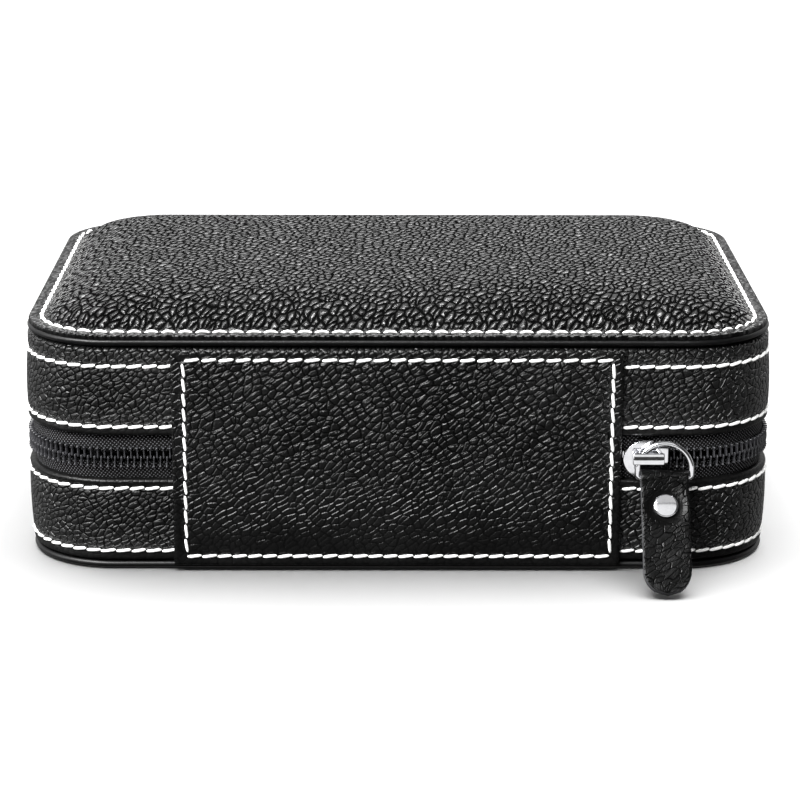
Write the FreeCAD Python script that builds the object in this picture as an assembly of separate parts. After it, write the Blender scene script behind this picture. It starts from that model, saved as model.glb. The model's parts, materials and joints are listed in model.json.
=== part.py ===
import FreeCAD, Part
import math
import os

# Zip-round watch storage case. Two leather-covered board halves meet at a zip that runs round
# three sides, and a leather spine sewn over the fourth side is the hinge. Inside, a lined tray
# with crossed dividers holds four watch pillows, and a soft pad lines the lid.
# Millimetres. +Z is up, the spine faces -Y, and the origin is the centre of the underside.

Vector = FreeCAD.Vector

# Outside of the case
case_width = 200.0
case_depth = 140.0
corner_radius = 24.0
zip_line_z = 31.3
zip_window = 12.0

# Layers of the wall, from the outside in
leather_t = 1.4
tape_t = 0.7
board_t = 2.0
liner_t = 1.6
glue_gap = 0.1
edge_round = 0.6
cut_overrun = 2.0

# Base
bottom_leather_t = 1.4
floor_board_t = 2.4
base_bead_d = 1.8
bead_lift = 0.25
base_bead_gap = 0.35
liner_floor_t = 1.2
liner_rim_gap = 0.8

# Lid
lid_band_h = 23.7
lid_groove_h = 0.7
lid_bead_d = 1.6
top_leather_t = 1.2
top_leather_inset = 0.4
border_w = 5.0
crown_rise = 7.2
crown_power = 7
crown_inset_shares = (0.0, 0.05, 0.12, 0.24, 0.42, 0.66)
crown_corner_shares = (1.0, 0.95, 0.88, 0.8, 0.75, 0.7)
lid_pad_t = 5.8
lid_pad_gap = 0.3
lid_pad_edge_share = 0.55
lid_pad_draw = 2.0
lid_pad_draw_share = 0.5

# Dividers and watch pillows
divider_t = 3.0
divider_h = 23.0
pillow_length_share = 0.865
pillow_width_share = 0.736
pillow_h = 36.0
pillow_corner_r = 15.0
pillow_level_shares = (0.0, 0.12, 0.36, 0.68, 0.88, 1.0)
pillow_size_shares = (0.84, 0.95, 1.0, 0.98, 0.88, 0.62)

# Zip
tape_edge_gap = 1.5
tape_hem = 7.0
tape_tuck = 9.0
tooth_pitch = 1.72
tooth_w = 0.75
tooth_reach = 2.75
tooth_mesh = 0.35
coil_t = 1.7
chain_end_gap = 0.6
stop_w = 2.0
stop_h = 4.4
stop_depth_share = 0.7

# Spine
spine_width_share = 0.59
spine_overlap = 0.9
spine_t = 1.6
hinge_strip_t = 0.8
hinge_strip_gap = 0.2
hinge_axis_outset = 3.0

# Slider, with its outline as shares of its length and of half its height
slider_length = 11.8
slider_half_h = 5.2
slider_gap = 0.4
slider_plate_t = 1.2
slider_play = 0.35
slider_flange_t = 0.8
slider_flange_d = 1.6
slider_tail_half_share = 0.6
slider_tail_start_share = 0.72
slider_shoulder_share = 0.5
slider_shoulder_end_share = 0.66
slider_nose_shares = (0.16, 0.72)
wedge_start_share = 0.1
wedge_middle_share = 0.26
wedge_end_share = 0.44
wedge_half_h = 1.3
crown_start_share = 0.14
crown_end_share = 0.85
crown_leg_l = 1.0
crown_window_h = 3.4
crown_bar_t = 1.3
crown_bar_half_h = 1.2

# Pull: a D-ring in the crown and a folded leather tab on the ring, propped on the ground
ring_inner_w = 12.8
ring_wire_d = 1.35
ring_corner_r = 0.8
ring_drop = 4.1
ring_leg = 1.2
ring_shift = 2.95
ring_lean_deg = 5.0
ring_wire_gap = 0.5
tab_side_gap = 0.15
tab_leather_t = 1.25
tab_fold_gap = 0.1
tab_slit = 0.1
tab_length = 32.0
tab_floor_gap = 0.3
rivet_drop = 8.3
rivet_cap_d = 6.1
rivet_cap_t = 0.9
rivet_back_t = 0.6
rivet_shank_d = 2.4
rivet_hole_gap = 0.05
rivet_round = 0.35

# White sewing thread
stitch_pitch = 4.05
stitch_length = 3.5
stitch_w = 0.9
stitch_t = 0.45
stitch_slant_deg = 8.0
top_stitch_inset = 3.9
lid_stitch_margin = 4.8
base_stitch_margin = 2.8
zip_stitch_margin = 2.5
spine_stitch_margin = 2.4

# Levels and insets that follow from the sizes above
base_band_low = bead_lift + base_bead_d + base_bead_gap
base_band_top = zip_line_z - zip_window / 2
lid_band_low = zip_line_z + zip_window / 2
lid_band_top = lid_band_low + lid_band_h
lid_bead_low = lid_band_top + lid_groove_h
lid_bead_top = lid_bead_low + lid_bead_d
tape_inset = leather_t + glue_gap
board_inset = tape_inset + tape_t + glue_gap
liner_inset = board_inset + board_t + glue_gap
room_inset = liner_inset + liner_t
floor_z = bottom_leather_t + floor_board_t
room_floor_z = floor_z + liner_floor_t
base_rim_z = zip_line_z - liner_rim_gap / 2
lid_rim_z = zip_line_z + liner_rim_gap / 2
border_low = lid_bead_top + glue_gap
border_top = border_low + top_leather_t
front_y = -case_depth / 2
hinge_y = front_y - hinge_axis_outset
spine_width = case_width * spine_width_share
spine_low = base_band_low - spine_overlap
spine_top = lid_band_top - glue_gap
slider_x = spine_width / 2 + slider_gap
slider_face_y = front_y - coil_t + tape_inset - slider_play - slider_plate_t
ring_x = slider_x + ring_shift + ring_wire_d + ring_inner_w / 2


# Rounded-rectangle outline of the case

def rounded_wire(half_x, half_y, radius, z):
    """A closed outline of four lines and four quarter arcs, level at z."""
    edges = []
    quarter = math.pi / 2
    mid = math.sqrt(1 / 2)
    corners = ((1, -1, -quarter), (1, 1, 0.0), (-1, 1, quarter), (-1, -1, 2 * quarter))
    places = []
    for sx, sy, start in corners:
        centre = Vector(sx * (half_x - radius), sy * (half_y - radius), z)
        spokes = [start, start + quarter / 2, start + quarter]
        places.append([centre + Vector(math.cos(a), math.sin(a), 0) * radius for a in spokes])
    for number, (first, middle, last) in enumerate(places):
        edges.append(Part.Arc(first, middle, last).toShape())
        following = places[(number + 1) % len(places)][0]
        edges.append(Part.LineSegment(last, following).toShape())
    return Part.Wire(edges)


def rim_wire(inset, z):
    """The case's outline, drawn in by inset."""
    return rounded_wire(case_width / 2 - inset, case_depth / 2 - inset, corner_radius - inset, z)


def rim_plate(inset, low, high):
    """A plate of the case's outline."""
    return Part.Face(rim_wire(inset, low)).extrude(Vector(0, 0, high - low))


def rim_wall(outer, inner, low, high):
    """A wall that follows the case's outline."""
    hole = rim_plate(inner, low - cut_overrun, high + cut_overrun)
    return rim_plate(outer, low, high).cut(hole)


def block(low, high):
    """A box between two corners."""
    size = [b - a for a, b in zip(low, high)]
    return Part.makeBox(*size, Vector(*low))


def rim_length(inset):
    straight = 2 * (case_width + case_depth - 4 * corner_radius)
    return straight + 2 * math.pi * (corner_radius - inset)


def rim_at(inset, distance):
    """(place, heading in degrees) at a distance along the outline, from the middle of the front
    and first towards +X."""
    run_x = case_width - 2 * corner_radius
    run_y = case_depth - 2 * corner_radius
    radius = corner_radius - inset
    place = Vector(0, -case_depth / 2 + inset, 0)
    heading = 0.0
    left = distance
    for run in (run_x / 2, run_y, run_x, run_y, run_x / 2):
        ahead = Vector(math.cos(math.radians(heading)), math.sin(math.radians(heading)), 0)
        if left <= run:
            return place + ahead * left, heading
        place = place + ahead * run
        left -= run
        side = Vector(-ahead.y, ahead.x, 0)
        turn = min(left / radius, math.pi / 2)
        centre = place + side * radius
        arm = (place - centre) * math.cos(turn) + ahead * radius * math.sin(turn)
        heading += math.degrees(turn)
        if turn < math.pi / 2:
            return centre + arm, heading
        place = centre + arm
        left -= radius * math.pi / 2
    return place, heading


def on_rim(shape, inset, distance, z, slant=0.0):
    """Sets a shape that is drawn about the origin on the outline: its X follows the outline, its -Y
    points out of the case and its Z is up."""
    place, heading = rim_at(inset, distance)
    turned = FreeCAD.Rotation(Vector(0, 0, 1), heading)
    tilted = FreeCAD.Rotation(Vector(0, 1, 0), -slant)
    shape.Placement = FreeCAD.Placement(place + Vector(0, 0, z), turned.multiply(tilted))
    return shape


def rounded_edges(shape, level, radius, inset):
    """Rounds the edges of a rim wall that lie at a level on the outline at inset."""
    keep = []
    for edge in shape.Edges:
        box = edge.BoundBox
        outside = rim_wire(inset, level).distToShape(edge)[0] < glue_gap / 2
        if abs(box.ZMin - level) < glue_gap / 2 and abs(box.ZMax - level) < glue_gap / 2 and outside:
            keep.append(edge)
    return shape.makeFillet(radius, keep)


def piping(inset, wire_d, low):
    """A round bead that follows the case's outline."""
    radius = wire_d / 2
    path = rim_wire(inset + radius, low + radius)
    start = path.Edges[0].valueAt(path.Edges[0].FirstParameter)
    ahead = path.Edges[0].tangentAt(path.Edges[0].FirstParameter)
    section = Part.Wire([Part.makeCircle(radius, start, ahead)])
    return path.makePipeShell([section], True, False)


# Leather covers

def band_leather(low, high):
    band = rim_wall(0, leather_t, low, high)
    for level in (low, high):
        band = rounded_edges(band, level, edge_round, 0)
    return band


def crown_outline(share, corner_share, drop):
    """One level of the padded top, as an outline at a share of the way in from its border."""
    inset = border_w + share * (case_depth / 2 - border_w)
    half_x = case_width / 2 - inset
    half_y = case_depth / 2 - inset
    radius = min((corner_radius - border_w) * corner_share, half_y * corner_share)
    rise = crown_rise * (1 - (1 - share) ** crown_power)
    return rounded_wire(half_x, half_y, radius, border_top + rise - drop)


def crown_solid(drop):
    levels = zip(crown_inset_shares, crown_corner_shares)
    return Part.makeLoft([crown_outline(s, c, drop) for s, c in levels], True, False)


def lid_top_leather():
    """The crowned top cover, a sheet of even thickness with a flat sewn border."""
    border = rim_plate(top_leather_inset, border_low, border_top)
    border = rounded_edges(border, border_top, edge_round, top_leather_inset)
    return border.fuse(crown_solid(0)).cut(crown_solid(top_leather_t)).removeSplitter()


def spine_panel():
    """The leather hinge, sewn to both halves."""
    half = spine_width / 2
    panel = block((-half, front_y - spine_t, spine_low), (half, front_y, spine_top))
    outer = [e for e in panel.Edges if abs(e.BoundBox.YMax - (front_y - spine_t)) < glue_gap]
    return panel.makeFillet(edge_round, outer)


# Boards and linings

def liner_wall(low, high, lip_low, lip_high):
    """The lined inner wall, with its lip cut away on the hinge side so that the lid can fold."""
    wall = rim_wall(liner_inset, room_inset, low, high)
    side = case_width / 2
    depth = front_y + corner_radius
    notch = block((-side, front_y, lip_low), (side, depth, lip_high))
    return wall.cut(notch)


def hinge_strip():
    half = case_width / 2 - corner_radius
    low = base_band_top + hinge_strip_gap
    high = lid_band_low - hinge_strip_gap
    inner = front_y + liner_inset + hinge_strip_t
    return block((-half, front_y + liner_inset, low), (half, inner, high))


def soft_block(length, width, height, radius, levels, shares):
    """A crowned cushion with drawn-in sides, standing on z = 0."""
    outlines = []
    for level, share in zip(levels, shares):
        half_x = length / 2 - (1 - share) * width / 2
        half_y = share * width / 2
        outlines.append(rounded_wire(half_x, half_y, radius * share, level * height))
    return Part.makeLoft(outlines, True, False)


def watch_pillow(side_x, side_y):
    """One pillow, in the middle of its quarter of the tray."""
    cell_length = (case_width - divider_t) / 2 - room_inset
    cell_width = (case_depth - divider_t) / 2 - room_inset
    centre_x = side_x * (cell_length + divider_t) / 2
    centre_y = side_y * (cell_width + divider_t) / 2
    pillow = soft_block(cell_length * pillow_length_share, cell_width * pillow_width_share, pillow_h,
                        pillow_corner_r, pillow_level_shares, pillow_size_shares)
    pillow.translate(Vector(centre_x, centre_y, room_floor_z + glue_gap))
    return pillow


def lid_pad():
    """The soft pad in the lid's roof, with its edge drawn in below."""
    inset = room_inset + lid_pad_gap
    high = lid_bead_low - glue_gap
    edge = high - lid_pad_t * lid_pad_edge_share
    low = high - lid_pad_t
    outlines = [rim_wire(inset, high), rim_wire(inset, edge)]
    body = Part.makeLoft(outlines, True, True)
    face = [rim_wire(inset, edge), rim_wire(inset + lid_pad_draw * lid_pad_draw_share, (edge + low) / 2),
            rim_wire(inset + lid_pad_draw, low)]
    return body.fuse(Part.makeLoft(face, True, True)).removeSplitter()


def dividers():
    """Two boards that cross in a half-lap joint on the tray's floor."""
    half_x = case_width / 2 - room_inset - glue_gap
    half_y = case_depth / 2 - room_inset - glue_gap
    low = room_floor_z
    high = low + divider_h
    middle = (low + high) / 2
    half_t = divider_t / 2
    slot = half_t + glue_gap
    long_board = block((-half_x, -half_t, low), (half_x, half_t, high))
    cross_board = block((-half_t, -half_y, low), (half_t, half_y, high))
    upper = block((-slot, -slot, middle), (slot, slot, high + cut_overrun))
    lower = block((-slot, -slot, low - cut_overrun), (slot, slot, middle + glue_gap))
    return long_board.cut(upper), cross_board.cut(lower)


# Zip

def zip_tape(low, high):
    """One half of the woven tape, open at the front where the spine covers its two ends."""
    tape = rim_wall(tape_inset, tape_inset + tape_t, low, high)
    half = spine_width / 2 - tape_tuck
    gap = block((-half, front_y, low - cut_overrun),
                (half, front_y + corner_radius, high + cut_overrun))
    return tape.cut(gap)


def zip_teeth(side, offset_share):
    """One row of coil elements, on the tape's outer face, that reaches just over the zip's line."""
    start = slider_x + slider_length * wedge_end_share + chain_end_gap
    end = rim_length(tape_inset) - spine_width / 2 - chain_end_gap
    count = int((end - start) / tooth_pitch)
    pitch = (end - start) / count
    height = tooth_reach + tooth_mesh
    middle = zip_line_z + side * (tooth_reach - tooth_mesh) / 2
    teeth = []
    for number in range(count):
        tooth = Part.makeBox(tooth_w, coil_t, height, Vector(-tooth_w / 2, -coil_t, -height / 2))
        teeth.append(on_rim(tooth, tape_inset, start + (number + offset_share) * pitch, middle))
    return Part.makeCompound(teeth)


def zip_stop(side):
    """A clamp that joins both tapes at one end of the zip, under the spine."""
    x = side * (spine_width / 2 - stop_w)
    face = front_y + tape_inset
    depth = (tape_inset - glue_gap) * stop_depth_share
    return block((x - stop_w / 2, face - depth, zip_line_z - stop_h / 2),
                 (x + stop_w / 2, face, zip_line_z + stop_h / 2))


def slider_outline(y):
    """The slider's plate: a round nose, two shoulders and a narrow tail."""
    def at(along, up):
        return Vector(slider_x + slider_length * along, y, zip_line_z + slider_half_h * up)

    nose_x, nose_z = slider_nose_shares
    tail = slider_tail_half_share
    upper = [at(slider_shoulder_share, 1), at(slider_shoulder_end_share, 1),
             at(slider_tail_start_share, tail), at(1, tail)]
    lower = [Vector(p.x, p.y, 2 * zip_line_z - p.z) for p in reversed(upper)]
    corners = upper + lower
    edges = [Part.LineSegment(a, b).toShape() for a, b in zip(corners, corners[1:])]
    quarter = Part.Arc(lower[-1], at(nose_x, -nose_z), at(0, 0)).toShape()
    other = Part.Arc(at(0, 0), at(nose_x, nose_z), upper[0]).toShape()
    return Part.Wire(edges + [quarter, other])


def slider_plate(low_y, high_y):
    return Part.Face(slider_outline(low_y)).extrude(Vector(0, high_y - low_y, 0))


def slider_body():
    """Two plates on a wedge, with flanges that lead the teeth in."""
    face = slider_face_y
    inner = face + slider_plate_t
    back = front_y + tape_inset + tape_t + slider_play
    front_plate = slider_plate(face, inner)
    back_plate = slider_plate(back, back + slider_plate_t)
    rim = slider_plate(inner, inner + slider_flange_d)
    keep = slider_half_h - slider_flange_t
    core = block((slider_x - cut_overrun, inner - cut_overrun, zip_line_z - keep),
                 (slider_x + slider_length + cut_overrun, back, zip_line_z + keep))
    rim = rim.cut(core)
    points = []
    for share, half in ((wedge_start_share, 0), (wedge_middle_share, wedge_half_h),
                        (wedge_end_share, 0), (wedge_middle_share, -wedge_half_h)):
        points.append(Vector(slider_x + slider_length * share, inner, zip_line_z + half))
    wedge = Part.Face(Part.makePolygon(points + points[:1])).extrude(Vector(0, back - inner, 0))
    return front_plate.fuse([back_plate, rim, wedge]).removeSplitter()


def slider_crown():
    """The bridge on the slider's face that the ring runs in."""
    start = slider_x + slider_length * crown_start_share
    end = slider_x + slider_length * crown_end_share
    low = zip_line_z - crown_bar_half_h
    high = zip_line_z + crown_bar_half_h
    outer = slider_face_y - crown_window_h - crown_bar_t
    bridge = block((start, outer, low), (end, slider_face_y, high))
    bends = [e for e in bridge.Edges if abs(e.BoundBox.YMax - outer) < glue_gap
             and e.BoundBox.ZLength > crown_bar_half_h]
    bridge = bridge.makeFillet(crown_bar_t, bends)
    window = block((start + crown_leg_l, slider_face_y - crown_window_h, low - cut_overrun),
                   (end - crown_leg_l, slider_face_y + cut_overrun, high + cut_overrun))
    return bridge.cut(window)


# Pull

ring_pivot_y = slider_face_y - crown_window_h + ring_wire_d / 2 + ring_wire_gap
ring_pivot = Vector(ring_x, ring_pivot_y, zip_line_z)
ring_bar = Vector(ring_x, ring_pivot_y - ring_drop * math.sin(math.radians(ring_lean_deg)),
                  zip_line_z - ring_drop * math.cos(math.radians(ring_lean_deg)))
tab_half_t = tab_leather_t + tab_slit / 2
tab_span = math.hypot(tab_length, tab_half_t)
# A tab too short to reach the ground hangs free under its ring
tab_foot_drop = min(ring_bar.z - tab_floor_gap, tab_span)
tab_lean = math.acos(tab_foot_drop / tab_span) + math.atan(tab_half_t / tab_length)


def pull_ring():
    """A D of round wire: an arch, two short legs and a straight bar that carries the tab."""
    half = (ring_inner_w + ring_wire_d) / 2
    low = zip_line_z - ring_drop
    spring = low + ring_corner_r + ring_leg
    x, y = ring_pivot.x, ring_pivot.y

    def at(dx, z):
        return Vector(x + dx, y, z)

    bend = ring_corner_r * (1 - math.sqrt(1 / 2))
    inner = half - ring_corner_r
    path = Part.Wire([
        Part.Arc(at(half, spring), at(0, spring + half), at(-half, spring)).toShape(),
        Part.LineSegment(at(-half, spring), at(-half, low + ring_corner_r)).toShape(),
        Part.Arc(at(-half, low + ring_corner_r), at(bend - half, low + bend), at(-inner, low)).toShape(),
        Part.LineSegment(at(-inner, low), at(inner, low)).toShape(),
        Part.Arc(at(inner, low), at(half - bend, low + bend), at(half, low + ring_corner_r)).toShape(),
        Part.LineSegment(at(half, low + ring_corner_r), at(half, spring)).toShape(),
    ])
    section = Part.Wire([Part.makeCircle(ring_wire_d / 2, at(half, spring), Vector(0, 0, 1))])
    ring = path.makePipeShell([section], True, False)
    ring.rotate(ring_pivot, Vector(1, 0, 0), -ring_lean_deg)
    return ring


def leaning(shape):
    """Turns a piece of the hanging tab from upright to the lean at which it stands on the ground."""
    shape.rotate(ring_bar, Vector(1, 0, 0), -math.degrees(tab_lean))
    return shape


def pull_tab():
    """A leather strip folded round the ring's bar, with a round end and a rivet hole."""
    width = ring_inner_w - 2 * tab_side_gap
    eye = ring_wire_d / 2 + tab_fold_gap
    fold = eye + tab_leather_t
    x, y, z = ring_bar.x, ring_bar.y, ring_bar.z
    left = Vector(x - width / 2, y, z)
    along = Vector(1, 0, 0)
    roll = Part.makeCylinder(fold, width, left, along)
    end_r = width / 2
    sheet = block((x - width / 2, y - tab_half_t, z - tab_length + end_r),
                  (x + width / 2, y + tab_half_t, z))
    tip = Part.makeCylinder(end_r, 2 * tab_half_t,
                            Vector(x, y - tab_half_t, z - tab_length + end_r), Vector(0, 1, 0))
    strip = roll.fuse([sheet, tip]).removeSplitter()
    over = Vector(cut_overrun, 0, 0)
    hole = Part.makeCylinder(eye, width + 2 * cut_overrun, left - over, along)
    slit = block((x - width, y - tab_slit / 2, z - tab_length - cut_overrun),
                 (x + width, y + tab_slit / 2, z))
    shank = Part.makeCylinder(rivet_shank_d / 2 + rivet_hole_gap, 2 * fold,
                              Vector(x, y - fold, z - rivet_drop), Vector(0, 1, 0))
    return leaning(strip.cut([hole, slit, shank]))


def rivet_head(face, thickness, out):
    """A low round head on one face of the tab."""
    centre = Vector(ring_bar.x, face, ring_bar.z - rivet_drop)
    head = Part.makeCylinder(rivet_cap_d / 2, thickness, centre, Vector(0, out, 0))
    crown = [e for e in head.Edges if abs(e.BoundBox.YMin - face - out * thickness) < glue_gap]
    return head.makeFillet(rivet_round, crown)


def rivet_cap():
    return leaning(rivet_head(ring_bar.y - tab_half_t, rivet_cap_t, -1))


def rivet_post():
    back = ring_bar.y + tab_half_t
    shank = Part.makeCylinder(rivet_shank_d / 2, 2 * tab_half_t,
                              Vector(ring_bar.x, back, ring_bar.z - rivet_drop), Vector(0, -1, 0))
    return leaning(rivet_head(back, rivet_back_t, 1).fuse(shank).removeSplitter())


# Sewing thread

def stitch():
    """One visible stitch, lying on a face that looks along -Y."""
    return Part.makeBox(stitch_length, stitch_t, stitch_w,
                        Vector(-stitch_length / 2, -stitch_t, -stitch_w / 2))


def spaced(start, end):
    """Middles of evenly spaced stitches between two places."""
    count = max(1, round((end - start) / stitch_pitch))
    return [start + (end - start) * (n + 1 / 2) / count for n in range(count)]


def band_stitching(levels):
    """Rows of stitches round a leather band, up to the spine's edges."""
    clear = spine_width / 2 + glue_gap
    row = spaced(clear, rim_length(0) - clear)
    stitches = []
    for level in levels:
        stitches += [on_rim(stitch(), 0, s, level, stitch_slant_deg) for s in row]
    return Part.makeCompound(stitches)


def top_stitching():
    """Stitches that lie flat on the top cover's border."""
    stitches = []
    for distance in spaced(0, rim_length(top_stitch_inset)):
        one = stitch()
        one.rotate(Vector(), Vector(1, 0, 0), -90)
        one.rotate(Vector(), Vector(0, 0, 1), stitch_slant_deg)
        flat = Part.makeCompound([one])
        stitches += on_rim(flat, top_stitch_inset, distance, border_top).Solids
    return Part.makeCompound(stitches)


def spine_stitching():
    """One row of stitches round the spine's four sides."""
    half = spine_width / 2 - spine_stitch_margin
    low = spine_low + spine_stitch_margin
    high = spine_top - spine_stitch_margin
    face = front_y - spine_t
    stitches = []
    for level in (low, high):
        for x in spaced(-half, half):
            one = stitch()
            one.rotate(Vector(), Vector(0, 1, 0), -stitch_slant_deg)
            one.translate(Vector(x, face, level))
            stitches.append(one)
    for x in (-half, half):
        for z in spaced(low + stitch_w, high - stitch_w):
            one = stitch()
            one.rotate(Vector(), Vector(0, 1, 0), 90 - stitch_slant_deg)
            one.translate(Vector(x, face, z))
            stitches.append(one)
    return Part.makeCompound(stitches)


def all_pieces():
    """Every piece of the case under its name."""
    long_divider, cross_divider = dividers()
    bead_hole = base_bead_d + glue_gap
    return {
        "base_bottom_leather": rim_plate(bead_hole, 0, bottom_leather_t),
        "base_edge_piping": piping(0, base_bead_d, bead_lift),
        "base_band_leather": band_leather(base_band_low, base_band_top),
        "base_floor_board": rim_plate(board_inset, bottom_leather_t, floor_z),
        "base_wall_board": rim_wall(board_inset, board_inset + board_t, floor_z, base_band_top),
        "base_liner_wall": liner_wall(floor_z, base_rim_z, base_band_top, base_rim_z + cut_overrun),
        "base_liner_floor": rim_plate(room_inset + glue_gap, floor_z, room_floor_z),
        "long_divider": long_divider,
        "cross_divider": cross_divider,
        "watch_pillow_front_left": watch_pillow(-1, -1),
        "watch_pillow_front_right": watch_pillow(1, -1),
        "watch_pillow_back_left": watch_pillow(-1, 1),
        "watch_pillow_back_right": watch_pillow(1, 1),
        "zip_tape_lower": zip_tape(base_band_top - tape_hem, zip_line_z - tape_edge_gap),
        "zip_teeth_lower": zip_teeth(-1, 1),
        "zip_stop_left": zip_stop(-1),
        "zip_stop_right": zip_stop(1),
        "hinge_spine_panel": spine_panel(),
        "hinge_lining_strip": hinge_strip(),
        "base_band_stitching": band_stitching(
            (base_band_low + base_stitch_margin, base_band_top - zip_stitch_margin)),
        "spine_stitching": spine_stitching(),
        "lid_band_leather": band_leather(lid_band_low, lid_band_top),
        "lid_wall_board": rim_wall(board_inset, board_inset + board_t, lid_band_low, lid_bead_low),
        "lid_top_board": rim_plate(lid_bead_d + glue_gap, lid_bead_low, lid_bead_top),
        "lid_foam_pad": crown_solid(top_leather_t + glue_gap),
        "lid_top_leather": lid_top_leather(),
        "lid_edge_piping": piping(0, lid_bead_d, lid_bead_low),
        "lid_liner_wall": liner_wall(lid_rim_z, lid_bead_low - glue_gap, lid_rim_z - cut_overrun,
                                     lid_band_low),
        "lid_inner_pad": lid_pad(),
        "zip_tape_upper": zip_tape(zip_line_z + tape_edge_gap, lid_band_low + tape_hem),
        "zip_teeth_upper": zip_teeth(1, 1 / 2),
        "lid_top_stitching": top_stitching(),
        "lid_band_stitching": band_stitching(
            (lid_band_low + zip_stitch_margin, lid_band_top - lid_stitch_margin)),
        "slider_body": slider_body(),
        "slider_crown": slider_crown(),
        "pull_ring": pull_ring(),
        "pull_tab": pull_tab(),
        "rivet_cap": rivet_cap(),
        "rivet_post": rivet_post(),
    }


os.makedirs("parts", exist_ok=True)
for name, piece in all_pieces().items():
    piece.exportStep(f"parts/{name}.step")
    print(f"{name}: {len(piece.Solids)} solids, {piece.Volume:.1f} mm3, valid {piece.isValid()}")
print(f"hinge axis y {hinge_y:.3f} z {zip_line_z:.3f}")
print(f"ring pivot {tuple(round(v, 3) for v in ring_pivot)}")
print(f"tab pivot {tuple(round(v, 3) for v in ring_bar)}, lean {math.degrees(tab_lean):.2f}")
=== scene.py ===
import json
import math
import random

import bmesh
import bpy
from mathutils import Matrix, Vector

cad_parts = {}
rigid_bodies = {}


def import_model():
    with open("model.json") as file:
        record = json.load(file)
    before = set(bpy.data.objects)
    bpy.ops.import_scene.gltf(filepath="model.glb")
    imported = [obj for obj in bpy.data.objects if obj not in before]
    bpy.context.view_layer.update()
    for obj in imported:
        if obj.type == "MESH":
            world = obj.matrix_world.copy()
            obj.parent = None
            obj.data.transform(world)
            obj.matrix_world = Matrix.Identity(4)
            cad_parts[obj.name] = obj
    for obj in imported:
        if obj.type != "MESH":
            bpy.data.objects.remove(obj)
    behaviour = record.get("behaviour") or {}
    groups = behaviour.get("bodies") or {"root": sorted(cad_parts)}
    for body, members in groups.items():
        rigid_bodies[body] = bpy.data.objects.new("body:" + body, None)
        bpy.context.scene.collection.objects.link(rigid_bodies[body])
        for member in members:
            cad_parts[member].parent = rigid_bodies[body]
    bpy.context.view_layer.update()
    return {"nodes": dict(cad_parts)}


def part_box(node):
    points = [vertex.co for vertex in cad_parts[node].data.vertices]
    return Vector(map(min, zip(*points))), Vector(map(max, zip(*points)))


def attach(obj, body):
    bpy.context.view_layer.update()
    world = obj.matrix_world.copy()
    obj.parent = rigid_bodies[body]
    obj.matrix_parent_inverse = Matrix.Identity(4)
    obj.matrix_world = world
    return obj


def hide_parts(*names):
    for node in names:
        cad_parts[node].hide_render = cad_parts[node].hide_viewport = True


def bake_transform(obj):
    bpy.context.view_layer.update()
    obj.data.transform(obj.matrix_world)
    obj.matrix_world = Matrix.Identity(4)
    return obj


# Zip-round watch case in black pebbled leather with white stitching, on a white studio floor.
# Metres, in the frame of the solids: the leather spine faces -Y, and +Z is up.

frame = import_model()
mm = 0.001
random.seed(7)

# Outline of the case and the levels of its layers, from the solids
corner_radius = 24.0 * mm
base_low, base_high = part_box("base_band_leather")
lid_low, lid_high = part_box("lid_band_leather")
top_low, top_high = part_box("lid_top_leather")
half_x, half_y = base_high[0], base_high[1]
zip_z = (base_high[2] + lid_low[2]) / 2
front_y = -half_y
spine_low, spine_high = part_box("hinge_spine_panel")
spine_half = spine_high[0]
weld = 0.001 * mm
corner_steps = 16

# Stitching: the thread, how far hand sewing strays, and where the seams run
stitch_pitch = 4.05 * mm
top_pitch = 4.47 * mm
stitch_length = stitch_pitch
stitch_width = 0.86 * mm
stitch_height = 0.8 * mm
stitch_blunt = 0.62
stitch_taper = 5
stitch_slant = math.radians(7.0)
slant_stray = 0.035
length_stray = (0.96, 1.04)
band_arch = 0.25 * mm
top_arch = 0.6 * mm
seam_depth = 0.3 * mm
seam_width = 0.8 * mm
lid_rows = (lid_low[2] + 2.5 * mm, lid_high[2] - 4.8 * mm)
base_rows = (base_low[2] + 2.8 * mm, base_high[2] - 2.5 * mm)
band_seam_clear = 0.2 * mm
top_seam_inset = 3.9 * mm
spine_seam_margin = 2.6 * mm
top_thread_rise = seam_depth * 0.5
spine_thread_sink = seam_depth * 0.4

# Padding of the covers
leather_t = 1.4 * mm
edge_round = 0.9 * mm
band_puff = 0.35 * mm
puff_power = 0.7
band_steps = 52
wall_swell = 0.6 * mm
spine_t = 1.15 * mm
spine_edge = 0.5 * mm
spine_over = 0.8 * mm
spine_puff = 0.3 * mm
spine_puff_run = 9.0 * mm
border_w = 5.0 * mm
border_t = 1.2 * mm
border_round = border_t * 0.45
crown_power = 7
crown_roll = (0.3, 0.9, 1.7, 2.7, 3.9, 5.3)
crown_field = (7.0, 9.0, 12.0, 16.0, 21.0, 28.0, 37.0, 48.0, 58.0)

# Grain: the share that is left where it is pressed flat, and where it comes loose again
band_pressed, band_fade = 0.12, 0.8 * mm
top_pressed, top_fade = 0.4, (-0.05 * mm, 0.8 * mm)
spine_pressed, spine_fade = 0.4, (1.6 * mm, 3.2 * mm)
foot_pressed, foot_fade = 0.2, (2.0 * mm, 38.0 * mm)
rivet_fade = (4.0 * mm, 6.0 * mm)

# Zip
tape_inset = 1.5 * mm
tape_t = 0.7 * mm
tape_tuck = 9.0 * mm
tape_steps = 16
cord_rise, cord_inset, cord_width = 0.25 * mm, 0.9 * mm, 0.5 * mm
chain_bulge, bulge_end, bulge_run = 0.6 * mm, 7.0 * mm, 5.0 * mm
coil_pitch = 1.72 * mm
coil_reach = 2.75 * mm
coil_out = 0.8 * mm
loop_width, loop_depth, loop_lean = 0.42 * mm, 1.1 * mm, 0.03
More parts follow.
